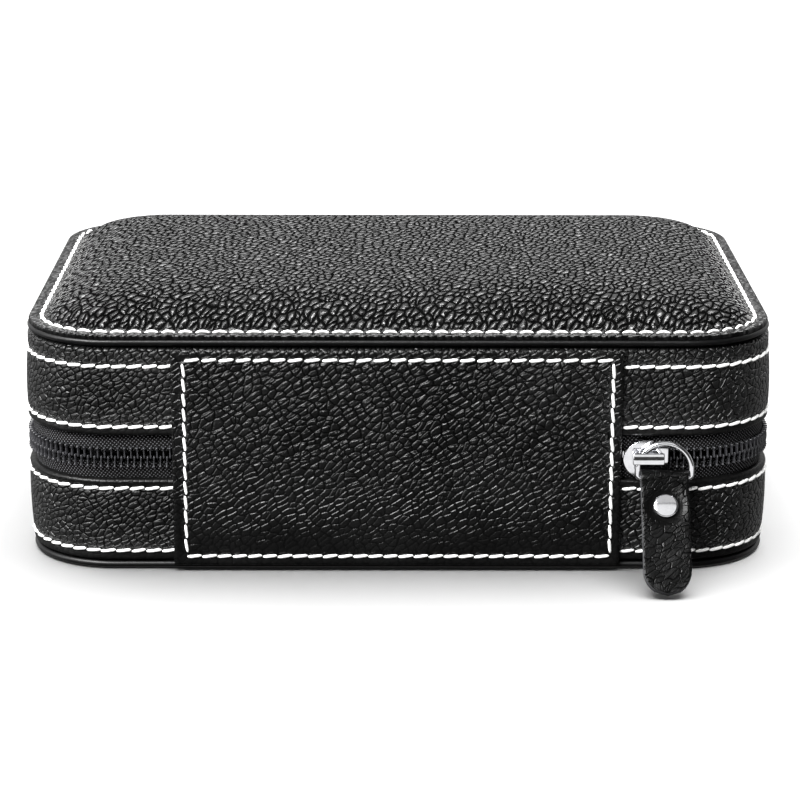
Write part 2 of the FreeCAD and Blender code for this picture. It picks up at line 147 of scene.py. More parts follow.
# Each step up a loop: how far in millimetres, and the change of width there. The depth changes
# half as much.
loop_steps = ((0.15, 1.9), (0.2, 1.0), (0.2, 0.56), (0.75, 0.95), (0.75, 1.0), (0.35, 1.4),
              (0.4, 1.0), (0.25, 0.6))
chain_end_gap = 0.6 * mm
slider_low, slider_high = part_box("slider_body")
mouth_share = 0.44
chain_start = slider_low[0] + (slider_high[0] - slider_low[0]) * mouth_share + chain_end_gap
mouth_end = 86.0 * mm
ring_thicker = 0.12 * mm

# The leather pull, folded over the ring's bar, and its rivet
tab_low, tab_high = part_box("pull_tab")
tab_bar = Vector((70.1, -74.332, 27.216)) * mm
tab_lean = math.radians(35.14)
tab_down = Vector((0, -math.sin(tab_lean), -math.cos(tab_lean)))
tab_out = Vector((0, -math.cos(tab_lean), math.sin(tab_lean)))
tab_length = 32.0 * mm
tab_half_t = 1.3 * mm
tab_leather_t = 1.2 * mm
tab_roll_r = 2.025 * mm
tab_flat_top = 3.4 * mm
flat_steps, swell_steps, roll_steps = 28, 10, 12
rivet_drop = 8.3 * mm
rivet_r = 3.25 * mm
rivet_dent, rivet_dent_r = 0.2 * mm, 4.2 * mm
# The rivet head's section: share of its radius, and height in millimetres
rivet_profile = ((0.0, 0.9), (0.2, 0.894), (0.4, 0.874), (0.6, 0.842), (0.8, 0.796), (0.88, 0.76),
                 (0.95, 0.66), (0.99, 0.5), (1.0, 0.3), (1.0, -0.1))

# Lining and stuffing
lining_t = 0.7 * mm
lining_inset = 0.6 * mm
pillow_voxel = 4.0 * mm
pillow_shrink = (0.96, 0.94, 0.94)
pillow_swell = 2.0 * mm
stuffing_pressure = 4.0
stuffing_frames = 20
pillow_seam_at, pillow_seam_width, pillow_seam_depth = 0.72, 1.6 * mm, 0.05
pad_wall_share = 0.45
# Each ring of the lid's pad: how far in, in millimetres, and its drop as a share of the pad's depth
pad_rings = ((0.4, 0.12), (1.0, 0.1), (2.0, 0.06), (3.0, -0.05), (4.0, -0.12), (5.0, 0.0),
             (6.5, 0.12), (9.0, 0.14), (13.0, 0.1), (20.0, 0.06), (32.0, 0.02), (46.0, 0.0))


# Tools of the bench

def only(*pieces):
    """Selects these pieces alone."""
    if bpy.context.object and bpy.context.object.mode != "OBJECT":
        bpy.ops.object.mode_set(mode="OBJECT")
    bpy.ops.object.select_all(action="DESELECT")
    for piece in pieces:
        piece.select_set(True)
    bpy.context.view_layer.objects.active = pieces[0]


def named(name):
    """Gives the piece that was just added its name."""
    piece = bpy.context.object
    piece.name = name
    piece.data.name = name
    return piece


def settled(piece):
    """Applies a piece's place, turn and scale to its mesh."""
    only(piece)
    bpy.ops.object.transform_apply(location=True, rotation=True, scale=True)


def sized(name, size):
    """Gives the piece that was just added its name and size."""
    piece = named(name)
    piece.scale = size
    settled(piece)
    return piece


def edit(piece):
    """Opens a piece in edit mode with everything selected."""
    only(piece)
    bpy.ops.object.mode_set(mode="EDIT")
    bpy.ops.mesh.select_mode(type="VERT")
    bpy.ops.mesh.select_all(action="SELECT")


def pick_faces(piece, wanted):
    """Selects the faces whose centre and normal pass a test."""
    bpy.ops.mesh.select_mode(type="FACE")
    bpy.ops.mesh.select_all(action="DESELECT")
    net = bmesh.from_edit_mesh(piece.data)
    for face in net.faces:
        face.select_set(wanted(face.calc_center_median(), face.normal))
    bmesh.update_edit_mesh(piece.data)


def pick_edges(piece, wanted):
    """Selects the edges whose two ends pass a test."""
    bpy.ops.mesh.select_mode(type="EDGE")
    bpy.ops.mesh.select_all(action="DESELECT")
    net = bmesh.from_edit_mesh(piece.data)
    for edge in net.edges:
        edge.select_set(all(wanted(v.co) for v in edge.verts))
    bmesh.update_edit_mesh(piece.data)


def modified(piece, kind, **settings):
    """Adds a modifier and applies it."""
    only(piece)
    modifier = piece.modifiers.new(kind.title(), kind)
    for key, value in settings.items():
        setattr(modifier, key, value)
    bpy.ops.object.modifier_apply(modifier=modifier.name)


def rounded(piece, width, segments, angle_deg):
    """Rounds a piece's edges that are sharper than an angle."""
    modified(piece, "BEVEL", width=width, segments=segments, limit_method="ANGLE",
             angle_limit=math.radians(angle_deg))


def closed_up(piece):
    """Welds a mesh, closes its ends and turns its faces outwards."""
    edit(piece)
    bpy.ops.mesh.remove_doubles(threshold=weld)
    bpy.ops.mesh.fill_holes(sides=0)
    bpy.ops.mesh.select_all(action="SELECT")
    bpy.ops.mesh.normals_make_consistent(inside=False)
    only(piece)
    return piece


def finished(piece, finish, smooth=40.0):
    """Shades a piece and gives it its finish."""
    settled(piece)
    bpy.ops.object.shade_smooth_by_angle(angle=math.radians(smooth))
    piece.data.materials.clear()
    piece.data.materials.append(finish)


def drawn(length):
    """Extrudes what is selected."""
    bpy.ops.mesh.extrude_region_move(TRANSFORM_OT_translate={"value": length})


def drawn_in(rise, end_x, end_y, reached, inset):
    """Extrudes a level face and draws it in from one inset of its outline to the next."""
    drawn((0, 0, rise))
    bpy.ops.transform.resize(value=((end_x - inset) / (end_x - reached),
                                    (end_y - inset) / (end_y - reached), 1),
                             center_override=(0, 0, 0))


def traced(name, places):
    """Draws a chain of edges through places, by extruding a point. It stays in edit mode."""
    bpy.ops.object.select_all(action="DESELECT")
    bpy.ops.mesh.primitive_plane_add(size=half_x)
    piece = named(name)
    edit(piece)
    bpy.ops.mesh.merge(type="CENTER")
    bpy.ops.transform.translate(value=places[0])
    for before, after in zip(places, places[1:]):
        drawn(after - before)
    bpy.ops.mesh.select_all(action="SELECT")
    bpy.ops.mesh.remove_doubles(threshold=weld)
    return piece


def rounded_plate(name, end_x, end_y, level, radius):
    """A level plate with round corners, in edit mode with its face selected."""
    bpy.ops.object.select_all(action="DESELECT")
    bpy.ops.mesh.primitive_plane_add(size=1.0, location=(0, 0, level))
    plate = sized(name, (2 * end_x, 2 * end_y, 1))
    edit(plate)
    bpy.ops.mesh.bevel(offset=radius, affect="VERTICES", segments=corner_steps)
    bpy.ops.mesh.select_all(action="SELECT")
    return plate


def swept_round(name, section, open_half=0.0):
    """Draws a closed section, given as outset and height, round the case's outline. With open_half
    the run stops that far from the middle of the front, on both sides."""
    places = [Vector((open_half, front_y - out, z)) for out, z in section]
    piece = traced(name, places + places[:1])
    run_x = half_x - corner_radius
    run_y = half_y - corner_radius
    legs = ((1, -1, (0, 2 * run_y, 0)), (1, 1, (-2 * run_x, 0, 0)), (-1, 1, (0, -2 * run_y, 0)),
            (-1, -1, (run_x - open_half, 0, 0)))
    drawn((run_x - open_half, 0, 0))
    for side_x, side_y, leg in legs:
        bpy.ops.mesh.spin(steps=corner_steps, angle=-math.pi / 2, axis=(0, 0, 1),
                          center=(side_x * run_x, side_y * run_y, 0))
        drawn(leg)
    return closed_up(piece)


def outline_length(inset):
    """Length of the case's outline, so far inside its wall."""
    straight = 4 * (half_x + half_y - 2 * corner_radius)
    return straight + 2 * math.pi * (corner_radius - inset)


def facing(heading):
    """Level direction of a heading."""
    return Vector((math.cos(heading), math.sin(heading), 0))


def outward(ahead):
    """Level direction out of the case, for a run along its outline."""
    return Vector((ahead.y, -ahead.x, 0))


def outline_at(inset, distance):
    """(place, direction) at a distance along the outline, from the middle of the front towards +X."""
    run_x = 2 * (half_x - corner_radius)
    run_y = 2 * (half_y - corner_radius)
    radius = corner_radius - inset
    place = Vector((0, front_y + inset, 0))
    heading = 0.0
    for run in (run_x / 2, run_y, run_x, run_y, run_x / 2):
        ahead = facing(heading)
        if distance <= run:
            return place + ahead * distance, ahead
        place = place + ahead * run
        distance -= run
        centre = place - outward(ahead) * radius
        turn = min(distance / radius, math.pi / 2)
        place = centre + (place - centre) * math.cos(turn) + ahead * radius * math.sin(turn)
        heading += turn
        distance -= radius * turn
        if turn < math.pi / 2:
            break
    return place, facing(heading)


def outline_distance(place):
    """How far along the outline a place near it lies."""
    run_x = half_x - corner_radius
    run_y = half_y - corner_radius
    bend = corner_radius * math.pi / 2
    x, y = place.x, place.y
    if abs(x) > run_x and abs(y) > run_y:
        turn = math.atan2(abs(y) - run_y, abs(x) - run_x) * corner_radius
        before, into = {
            (True, False): (run_x, bend - turn),
            (True, True): (run_x + bend + 2 * run_y, turn),
            (False, True): (3 * run_x + 2 * bend + 2 * run_y, bend - turn),
            (False, False): (3 * run_x + 3 * bend + 4 * run_y, turn),
        }[(x > 0, y > 0)]
        return before + into
    if abs(x) > run_x:
        return run_x + bend + run_y + y if x > 0 else 3 * run_x + 3 * bend + 3 * run_y - y
    if y > 0:
        return 2 * run_x + 2 * bend + 2 * run_y - x
    return x if x >= 0 else 4 * run_x + 4 * bend + 4 * run_y + x


def unrolled(piece):
    """Lays a map on a piece that follows the outline: distance along it, and height, in metres."""
    layer = piece.data.uv_layers.active
    whole = outline_length(0)
    for face in piece.data.polygons:
        across = [outline_distance(piece.data.vertices[v].co) for v in face.vertices]
        for loop, distance in zip(face.loop_indices, across):
            if distance - min(across) > whole / 2:
                distance -= whole
            height = piece.data.vertices[piece.data.loops[loop].vertex_index].co.z
            layer.data[loop].uv = (distance, height)


def mapped(piece, across, along):
    """Lays a map on a piece from two of its own directions, in metres."""
    layer = piece.data.uv_layers.active
    for loop in piece.data.loops:
        place = piece.data.vertices[loop.vertex_index].co
        layer.data[loop.index].uv = (place[across], place[along])


def eased(value, low, high, least=0.0):
    """The least share below low, 1 above high and a smooth rise between them."""
    share = min(1.0, max(0.0, (value - low) / (high - low)))
    rise = share * share * (3 - 2 * share)
    return least + (1 - least) * rise


def grained(piece, share):
    """Notes on a leather piece how far its grain stays loose at each place, from 0 to 1."""
    layer = piece.data.attributes.new("loose_grain", "FLOAT", "POINT")
    for point in piece.data.vertices:
        layer.data[point.index].value = share(point.co)


def copied(name, mesh):
    """Adds a piece with a copy of a mesh."""
    piece = bpy.data.objects.new(name, mesh.copy())
    bpy.context.collection.objects.link(piece)
    return piece


def from_solid(name, node):
    """Adds a piece with a welded copy of a solid's mesh, in edit mode."""
    piece = copied(name, frame["nodes"][node].data)
    edit(piece)
    bpy.ops.mesh.remove_doubles(threshold=weld)
    return piece


def copies(name, master, places):
    """Sets copies of a master piece at places and joins them to one piece. The master goes."""
    made = []
    for place in places:
        copy = copied(name, master.data)
        copy.data.transform(place)
        made.append(copy)
    bpy.data.objects.remove(master)
    only(*made)
    bpy.ops.object.join()
    return named(name)


# Finishes

def linear(code):
    """Linear colour of an sRGB hex value."""
    parts = [int(code[n:n + 2], 16) / 255 for n in (1, 3, 5)]
    return [c / 12.92 if c <= 0.04045 else ((c + 0.055) / 1.055) ** 2.4 for c in parts] + [1.0]


def bands(period_mm):
    """The scale at which a wave texture repeats every so many millimetres."""
    return 2 * math.pi / (20 * period_mm * mm)


def blots(period_mm):
    """The scale at which a noise texture changes every so many millimetres."""
    return 1000 / period_mm


def add(tree, kind, links=None, values=None, **settings):
    """Adds a node, with its settings, its sockets' values and its links."""
    node = tree.nodes.new(kind)
    for key, value in settings.items():
        setattr(node, key, value)
    for key, value in (values or {}).items():
        node.inputs[key].default_value = value
    for key, source in (links or {}).items():
        tree.links.new(source, node.inputs[key])
    return node


def new_finish(name, **sockets):
    """A material with the shader's own sockets set."""
    finish = bpy.data.materials.new(name)
    finish.use_nodes = True
    shader = finish.node_tree.nodes["Principled BSDF"]
    for key, value in sockets.items():
        shader.inputs[key.replace("_", " ")].default_value = value
    return finish, finish.node_tree, shader


def wired(tree, shader, **sources):
    """Links a shader's sockets to their sources."""
    for key, source in sources.items():
        tree.links.new(source, shader.inputs[key.replace("_", " ")])


def pebbled_leather(name, size_mm, turn_deg, uneven, depth_mm, shoulder, crack, dome, shine, rough,
                    dye_and_shade_code="#161616"):
    """Full-grain cowhide, drum-dyed black and milled: plump pebbles drawn out one way, with lit
    rims over thin black creases. Where it is sewn down flat, the pebbles are pressed out. The shine
    is a clear top coat, which the creases have lost. The creases' colour is also painted darker,
    as shade."""
    drift_mm = size_mm[1] * 4
    pore_mm = 0.45
    wave_height_mm = 0.45
    cloud_mm = 30
    finish, tree, shader = new_finish(name, Specular_IOR_Level=0.0, Coat_Roughness=rough)
    flat = add(tree, "ShaderNodeTexCoord").outputs["UV"]
    loose = add(tree, "ShaderNodeAttribute", attribute_name="loose_grain").outputs["Fac"]
    # Pebbles of a real size and lie, in a space that drifts, so that no row of them runs straight
    turned = add(tree, "ShaderNodeMapping", {"Vector": flat},
                 {"Rotation": (0, 0, math.radians(turn_deg)),
                  "Scale": (size_mm[0] * mm, size_mm[1] * mm, 1.0)}, vector_type="TEXTURE")
    drift = add(tree, "ShaderNodeTexNoise", {"Vector": flat},
                {"Scale": blots(drift_mm), "Detail": 1.0}, noise_dimensions="2D")
    offset = add(tree, "ShaderNodeVectorMath", {0: drift.outputs["Color"]},
                 {1: (0.5, 0.5, 0.5)}, operation="SUBTRACT")
    moved = add(tree, "ShaderNodeVectorMath", {0: offset.outputs[0], 2: turned.outputs[0]},
                {1: (1.1, 1.1, 0.0)}, operation="MULTIPLY_ADD")
    pebbles = add(tree, "ShaderNodeTexVoronoi", {"Vector": moved.outputs[0]},
                  {"Scale": 1.0, "Randomness": uneven}, feature="DISTANCE_TO_EDGE",
                  voronoi_dimensions="2D")
    domes = add(tree, "ShaderNodeTexVoronoi", {"Vector": moved.outputs[0]},
                {"Scale": 1.0, "Randomness": uneven}, feature="F1", voronoi_dimensions="2D")
    crumbs = add(tree, "ShaderNodeTexVoronoi", {"Vector": moved.outputs[0]},
                 {"Scale": 2.2}, feature="DISTANCE_TO_EDGE", voronoi_dimensions="2D")
    # Relief: steep banks and round tops, with fine lines, pores and slow waves
    bank = add(tree, "ShaderNodeMapRange", {"Value": pebbles.outputs["Distance"]},
               {"From Max": shoulder}, interpolation_type="SMOOTHSTEP")
    round_top = add(tree, "ShaderNodeMapRange", {"Value": domes.outputs["Distance"]},
                    {"From Max": 0.8, "To Min": dome, "To Max": 0.0},
                    interpolation_type="SMOOTHSTEP")
    lines = add(tree, "ShaderNodeMapRange", {"Value": crumbs.outputs["Distance"]},
                {"From Max": 0.12, "To Max": 0.14})
    pores = add(tree, "ShaderNodeTexNoise", {"Vector": flat},
                {"Scale": blots(pore_mm), "Detail": 2.0}, noise_dimensions="2D")
    grit = add(tree, "ShaderNodeMath", {0: pores.outputs["Fac"], 2: lines.outputs[0]}, {1: 0.12},
               operation="MULTIPLY_ADD")
    waves = add(tree, "ShaderNodeTexNoise", {"Vector": turned.outputs[0]},
                {"Scale": 0.2, "Detail": 1.0}, noise_dimensions="2D")
    fine = add(tree, "ShaderNodeMath", {0: waves.outputs["Fac"], 2: grit.outputs[0]},
               {1: wave_height_mm / depth_mm}, operation="MULTIPLY_ADD")
    both = add(tree, "ShaderNodeMath", {0: bank.outputs[0], 1: round_top.outputs[0]},
               operation="ADD")
    relief = add(tree, "ShaderNodeMath", {0: both.outputs[0], 1: fine.outputs[0]}, operation="ADD")
    height = add(tree, "ShaderNodeMath", {0: relief.outputs[0], 1: loose}, operation="MULTIPLY")
    bump = add(tree, "ShaderNodeBump", {"Height": height.outputs[0]},
               {"Strength": 1.0, "Distance": depth_mm * mm})
    # Top coat: lost in the creases, and duller where the grain is pressed out
    gap = add(tree, "ShaderNodeMapRange", {"Value": pebbles.outputs["Distance"]},
              {"From Min": crack * 0.4, "From Max": crack, "To Min": 1.0, "To Max": 0.0})
    worn = add(tree, "ShaderNodeMath", {0: gap.outputs[0], 1: loose}, operation="MULTIPLY")
    kept = add(tree, "ShaderNodeMath", {0: worn.outputs[0]}, {1: -1.0, 2: 1.0},
               operation="MULTIPLY_ADD")
    polish = add(tree, "ShaderNodeMapRange", {"Value": loose},
                 {"To Min": shine * 0.4, "To Max": shine})
    coat = add(tree, "ShaderNodeMath", {0: kept.outputs[0], 1: polish.outputs[0]},
               operation="MULTIPLY")
    # Colour: painted shade, darkest in the creases, times a cloudy tone that varies at random
    cloud = add(tree, "ShaderNodeTexNoise", {"Vector": flat},
                {"Scale": blots(cloud_mm), "Detail": 2.0}, noise_dimensions="2D")
    crease_painted_shade = add(tree, "ShaderNodeMapRange", {"Value": gap.outputs[0]}, {"To Min": 1.0, "To Max": 0.35})
    shade = add(tree, "ShaderNodeMath", {0: crease_painted_shade.outputs[0], 1: cloud.outputs["Fac"]},
                operation="MULTIPLY")
    colour = add(tree, "ShaderNodeMix", {"Factor": shade.outputs[0]},
                 {6: linear("#020202"), 7: linear(dye_and_shade_code)}, data_type="RGBA")
    gloss = add(tree, "ShaderNodeMapRange", {"Value": bank.outputs[0]},
                {"To Min": 0.9, "To Max": 0.5})
    wired(tree, shader, Base_Color=colour.outputs[2], Roughness=gloss.outputs[0],
          Coat_Weight=coat.outputs[0], Normal=bump.outputs[0], Coat_Normal=bump.outputs[0])
    return finish


def waxed_thread():
    """White bonded polyester thread, three plies twisted and waxed: bright, with fine slanting
    ridges and a satin sheen."""
    lint_mm = 3.0
    ply_height_mm = 0.06
    finish, tree, shader = new_finish("waxed_white_thread", Roughness=0.55, Sheen_Weight=0.2)
    space = add(tree, "ShaderNodeTexCoord")
    ply = add(tree, "ShaderNodeTexWave", {"Vector": space.outputs["UV"]},
              {"Scale": 1.6, "Distortion": 0.4}, bands_direction="DIAGONAL")
    lint = add(tree, "ShaderNodeTexNoise", {"Vector": space.outputs["Object"]},
               {"Scale": blots(lint_mm)})
    colour = add(tree, "ShaderNodeMix", {"Factor": lint.outputs["Fac"]},
                 {6: linear("#efeeeb"), 7: linear("#ffffff")}, data_type="RGBA")
    bump = add(tree, "ShaderNodeBump", {"Height": ply.outputs["Fac"]},
               {"Strength": 0.5, "Distance": ply_height_mm * mm})
    wired(tree, shader, Base_Color=colour.outputs[2], Normal=bump.outputs[0])
    return finish


def woven_tape():
    """Black polyester zip tape in a close twill: matt, with tiny yarn crowns whose colour is painted
    lighter, as highlights. The yarns are drawn coarser than real, so that they show."""
    yarn_mm = 0.75
    yarn_height_mm = 0.2
    twill_deg = 38
    finish, tree, shader = new_finish("woven_zip_tape", Specular_IOR_Level=0.25)
    space = add(tree, "ShaderNodeTexCoord")
    turned = add(tree, "ShaderNodeMapping", {"Vector": space.outputs["UV"]},
                 {"Rotation": (0, 0, math.radians(twill_deg))})
    warp, weft = (add(tree, "ShaderNodeTexWave", {"Vector": turned.outputs[0]},
                      {"Scale": bands(yarn_mm), "Distortion": 0.3}, bands_direction=way)
                  for way in ("X", "Y"))
    crowns = add(tree, "ShaderNodeMath", {0: warp.outputs["Fac"], 1: weft.outputs["Fac"]},
                 operation="MULTIPLY")
    # Painted highlight: the yarn crowns' colour is made lighter than the black yarn
    points = add(tree, "ShaderNodeMapRange", {"Value": crowns.outputs[0]},
                 {"From Min": 0.35, "From Max": 0.95})
    colour = add(tree, "ShaderNodeMix", {"Factor": points.outputs[0]},
                 {6: linear("#010101"), 7: linear("#636366")}, data_type="RGBA")
    rough = add(tree, "ShaderNodeMapRange", {"Value": crowns.outputs[0]},
                {"To Min": 0.95, "To Max": 0.7})
    bump = add(tree, "ShaderNodeBump", {"Height": crowns.outputs[0]},
               {"Strength": 1.0, "Distance": yarn_height_mm * mm})
    wired(tree, shader, Base_Color=colour.outputs[2], Roughness=rough.outputs[0],
          Normal=bump.outputs[0])
    return finish


def speckled(name, dark, light, grain_mm, rough, bump_mm, **sockets):
    """A plain finish with a fine irregular grain in its colour, shine and relief."""
    finish, tree, shader = new_finish(name, **sockets)
    space = add(tree, "ShaderNodeTexCoord")
    grain = add(tree, "ShaderNodeTexNoise", {"Vector": space.outputs["Object"]},
                {"Scale": blots(grain_mm), "Detail": 4.0}).outputs["Fac"]
    colour = add(tree, "ShaderNodeMix", {"Factor": grain}, {6: linear(dark), 7: linear(light)},
                 data_type="RGBA")
    shine = add(tree, "ShaderNodeMapRange", {"Value": grain},
                {"To Min": rough[0], "To Max": rough[1]})
    bump = add(tree, "ShaderNodeBump", {"Height": grain},
               {"Strength": 0.6, "Distance": bump_mm * mm})
    wired(tree, shader, Base_Color=colour.outputs[2], Roughness=shine.outputs[0],
          Normal=bump.outputs[0])
    return finish


# Four cuts of the hide. The top is the plumpest, and the pull is rolled almost smooth. The pull's
# colour is painted darker, as shade, because it leans up into the key lamp's light.
top_leather = pebbled_leather(
    "pebbled_top_leather", size_mm=(3.2, 1.8), turn_deg=62, uneven=0.85, depth_mm=0.4,
    shoulder=0.36, crack=0.23, dome=1.8, shine=1.0, rough=0.2)
wall_leather = pebbled_leather(
    "pebbled_wall_leather", size_mm=(2.1, 1.4), turn_deg=32, uneven=0.8, depth_mm=0.28,
    shoulder=0.2, crack=0.08, dome=0.7, shine=1.0, rough=0.36)
spine_leather = pebbled_leather(
    "pebbled_spine_leather", size_mm=(2.6, 1.55), turn_deg=34, uneven=0.75, depth_mm=0.32,
    shoulder=0.18, crack=0.08, dome=0.8, shine=1.0, rough=0.25)
# The pull's darker colour is painted shade, not a different dye.
pull_leather = pebbled_leather(
    "pebbled_pull_leather", size_mm=(2.8, 1.2), turn_deg=40, uneven=0.85, depth_mm=0.1,
    shoulder=0.1, crack=0.05, dome=0.2, shine=0.4, rough=0.28, dye_and_shade_code="#090909")
# Thin pared leather over cord and on the underside keeps only a fine grain.
edge_leather = speckled("pared_edge_leather", "#030303", "#0c0c0d", 0.7, (0.34, 0.5), 0.07,
                        Specular_IOR_Level=0.35)
thread = waxed_thread()
tape_cloth = woven_tape()
# The cut edge of the pull shows the fibres of the hide, dyed through and a little paler.
cut_edge = speckled("raw_leather_edge", "#1c1c1e", "#4a4a4d", 0.5, (0.7, 0.95), 0.15)
# Extruded nylon is slightly soft-edged and waxy, with a broad highlight.
coil_nylon = speckled("black_nylon_coil", "#1c1c1e", "#3a3a3d", 0.6, (0.2, 0.32), 0.02)
# Nickel and chrome plate on a die casting mirrors the room, with a faint polish haze.
chrome_plate = speckled("bright_chrome_plate", "#dcdde0", "#f2f2f4", 1.5, (0.06, 0.13), 0.003,
                        Metallic=1.0)
# Flocked velvet is dull face on and pale at its edges, and its brushed nap is blotchy. The nap is
# drawn at 2 mm, coarser than real, so that it shows.
velvet = speckled("grey_velvet", "#19191b", "#38383b", 2.0, (0.85, 1.0), 0.2,
                  Sheen_Weight=0.4, Sheen_Roughness=0.4)
# Bookboard dyed through in black has a fine fibrous face.
bookboard = speckled("black_bookboard", "#101011", "#1e1e20", 1.2, (0.85, 0.95), 0.06)
# Open-cell polyurethane foam, hidden under the top, is matt and finely pitted.
foam = speckled("padding_foam", "#5a5a5c", "#77777a", 0.7, (0.9, 1.0), 0.2)


# Leather covers

def wall_out(z):
    """How far the padded wall swells out at a height: most at the zip, nothing at top and foot."""
    away = abs(z - zip_z) - (lid_low[2] - zip_z)
    return wall_swell * (1 - min(1.0, max(0.0, away / (lid_high[2] - lid_low[2]))))


def band_section(low, high, rows):
    """A leather band's section: rolled edges, a groove at each seam and soft swells between."""
    face = []
    for step in range(band_steps + 1):
        z = low + (high - low) * step / band_steps
        out = wall_out(z)
        near = min(z - low, high - z)
        if near < edge_round:
            out -= edge_round - math.sqrt(edge_round ** 2 - (edge_round - near) ** 2)
        for row in rows:
            out -= seam_depth * math.exp(-((z - row) / seam_width) ** 2)
        share = (z - rows[0]) / (rows[1] - rows[0])
        if 0 < share < 1:
            out += band_puff * math.sin(math.pi * share) ** puff_power
        face.append((out, z))
    return face + [(-leather_t, high), (-leather_t, low)]


def leather_band(node, low, high, rows, loose_to, body):
    """The leather round one half of the wall, loose from its lower seam up to a level."""
    band = swept_round(f"{node}_skin", band_section(low, high, rows))
    unrolled(band)
    grained(band, lambda p: eased(min(p.z - rows[0], loose_to - p.z), -band_fade, band_fade,
                                  band_pressed))
    finished(band, wall_leather, 60.0)
    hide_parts(node)
    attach(band, body)


def crowned_top():
    """The lid's padded top: a flat sewn border with a groove under the stitches, then a crown."""
    margin = half_x - top_high[0]
    top = rounded_plate("lid_top_skin", half_x - margin, half_y - margin, top_low[2],
                        corner_radius - margin)
    drawn((0, 0, border_t))
    level = top_low[2] + border_t
    pick_edges(top, lambda p: abs(p.z - level) < weld)
    bpy.ops.mesh.bevel(offset=border_round, affect="EDGES", segments=4)
    pick_faces(top, lambda centre, normal: normal.z > 0.99)
    seam = top_seam_inset - margin - border_round
    # The groove under the stitches falls in two steps and rises in two
    for width, rise in ((seam - seam_width, 0), (seam_width * 0.6, -seam_depth * 0.7),
                        (seam_width * 0.4, -seam_depth * 0.3), (seam_width * 0.4, seam_depth * 0.3),
                        (seam_width * 0.6, seam_depth * 0.7)):
        bpy.ops.mesh.inset(thickness=width, depth=rise, use_even_offset=True)
    reached = top_seam_inset + seam_width
    rise_whole = top_high[2] - level
    height = 0.0
    for inward in crown_roll + crown_field:
        inset = border_w + inward * mm
        share = inward * mm / (half_y - border_w)
        rise = rise_whole * (1 - (1 - share) ** crown_power)
        if inward in crown_roll:
            bpy.ops.mesh.inset(thickness=inset - reached, depth=rise - height, use_even_offset=True)
        else:
            drawn_in(rise - height, half_x, half_y, reached, inset)
        reached = inset
        height = rise
    closed_up(top)
    mapped(top, 0, 1)
    grained(top, lambda p: eased(p.z - level, *top_fade, top_pressed))
    finished(top, top_leather, 60.0)
    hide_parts("lid_top_leather")
    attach(top, "lid")


def bending_panel(name, low, high, columns, rows, shape, thickness):
    """An upright panel of small squares that can bend, shaped by an outset at each x and z."""
    middle = ((low[0] + high[0]) / 2, low[1], (low[2] + high[2]) / 2)
    bpy.ops.object.select_all(action="DESELECT")
    bpy.ops.mesh.primitive_grid_add(x_subdivisions=columns, y_subdivisions=rows, size=1.0,
                                    location=middle, rotation=(math.pi / 2, 0, 0))
    panel = sized(name, (high[0] - low[0], high[2] - low[2], 1))
    for point in panel.data.vertices:
        point.co.y -= shape(point.co.x, point.co.z)
    modified(panel, "SOLIDIFY", thickness=thickness, offset=-1.0)
    return panel


def spine_inside(x, z):
    """How far a place lies inside the spine panel's edge."""
    return min(x + spine_half + spine_over, spine_half - x, z - spine_low[2], spine_high[2] - z)


def spine_shape(x, z):
    """How far the spine's face stands out: rolled edges, a sewn groove and a padded field."""
    near = spine_inside(x, z)
    out = 0.0
    if near < spine_edge:
        out -= spine_edge - math.sqrt(max(0.0, spine_edge ** 2 - (spine_edge - near) ** 2))
    out -= seam_depth * math.exp(-((near - spine_seam_margin) / seam_width) ** 2)
    if near > spine_seam_margin:
        field = min(1.0, (near - spine_seam_margin) / spine_puff_run)
        out += spine_puff * math.sin(math.pi / 2 * field)
    return out


def folds_with_lid(piece):
    """Bakes a piece's place, turn and scale into its mesh. It doesn't bend the piece."""
    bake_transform(piece)


def spine():
    """The sewn leather panel that is the hinge. Its grain fades towards the foot."""
    low = Vector(spine_low) - Vector((spine_over, 0, 0))
    panel = bending_panel("hinge_spine_skin", low, spine_high, columns=240, rows=120,
                          shape=spine_shape, thickness=spine_t)
    mapped(panel, 0, 2)
    grained(panel, lambda p: eased(spine_inside(p.x, p.z), *spine_fade, spine_pressed)
            * eased(p.z, *foot_fade, foot_pressed))
    finished(panel, spine_leather, 60.0)
    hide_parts("hinge_spine_panel")
    folds_with_lid(panel)


# Stitching

def one_stitch(arch):
    """One stitch along X, arched so far in the middle, with its ends pulled into the leather."""
    bpy.ops.object.select_all(action="DESELECT")
    bpy.ops.mesh.primitive_uv_sphere_add(segments=8, ring_count=8, radius=0.5,
                                         rotation=(0, math.pi / 2, 0))
    stitch = named("stitch")
    settled(stitch)
    for point in stitch.data.vertices:
        along = 2 * point.co.x
        blunt = math.copysign(abs(along) ** stitch_blunt, along)
        ball = max(1e-6, math.sqrt(max(0.0, 1 - along ** 2)))
        fat = math.sqrt(max(0.0, 1 - abs(blunt) ** stitch_taper)) / ball
        point.co = Vector((blunt * stitch_length / 2, point.co.y * stitch_width * fat,
                           point.co.z * stitch_height * fat - blunt ** 2 * arch))
    finished(stitch, thread, 180.0)
    return stitch


def evenly(start, end, pitch):
    """Middles of evenly spaced copies between two distances."""
    count = max(1, round((end - start) / pitch))
    return [start + (end - start) * (n + 0.5) / count for n in range(count)]


def stitch_place(place, ahead, out):
    """Where a stitch lies: along ahead, with its back on the leather, a little slanted by hand."""
    side = out.cross(ahead)
    lean = stitch_slant + random.uniform(-slant_stray, slant_stray)
    along = ahead * math.cos(lean) + side * math.sin(lean)
    across = out.cross(along)
    size = random.uniform(*length_stray)
    turn = Matrix((along * size, across, out)).transposed().to_4x4()
    return Matrix.Translation(place) @ turn


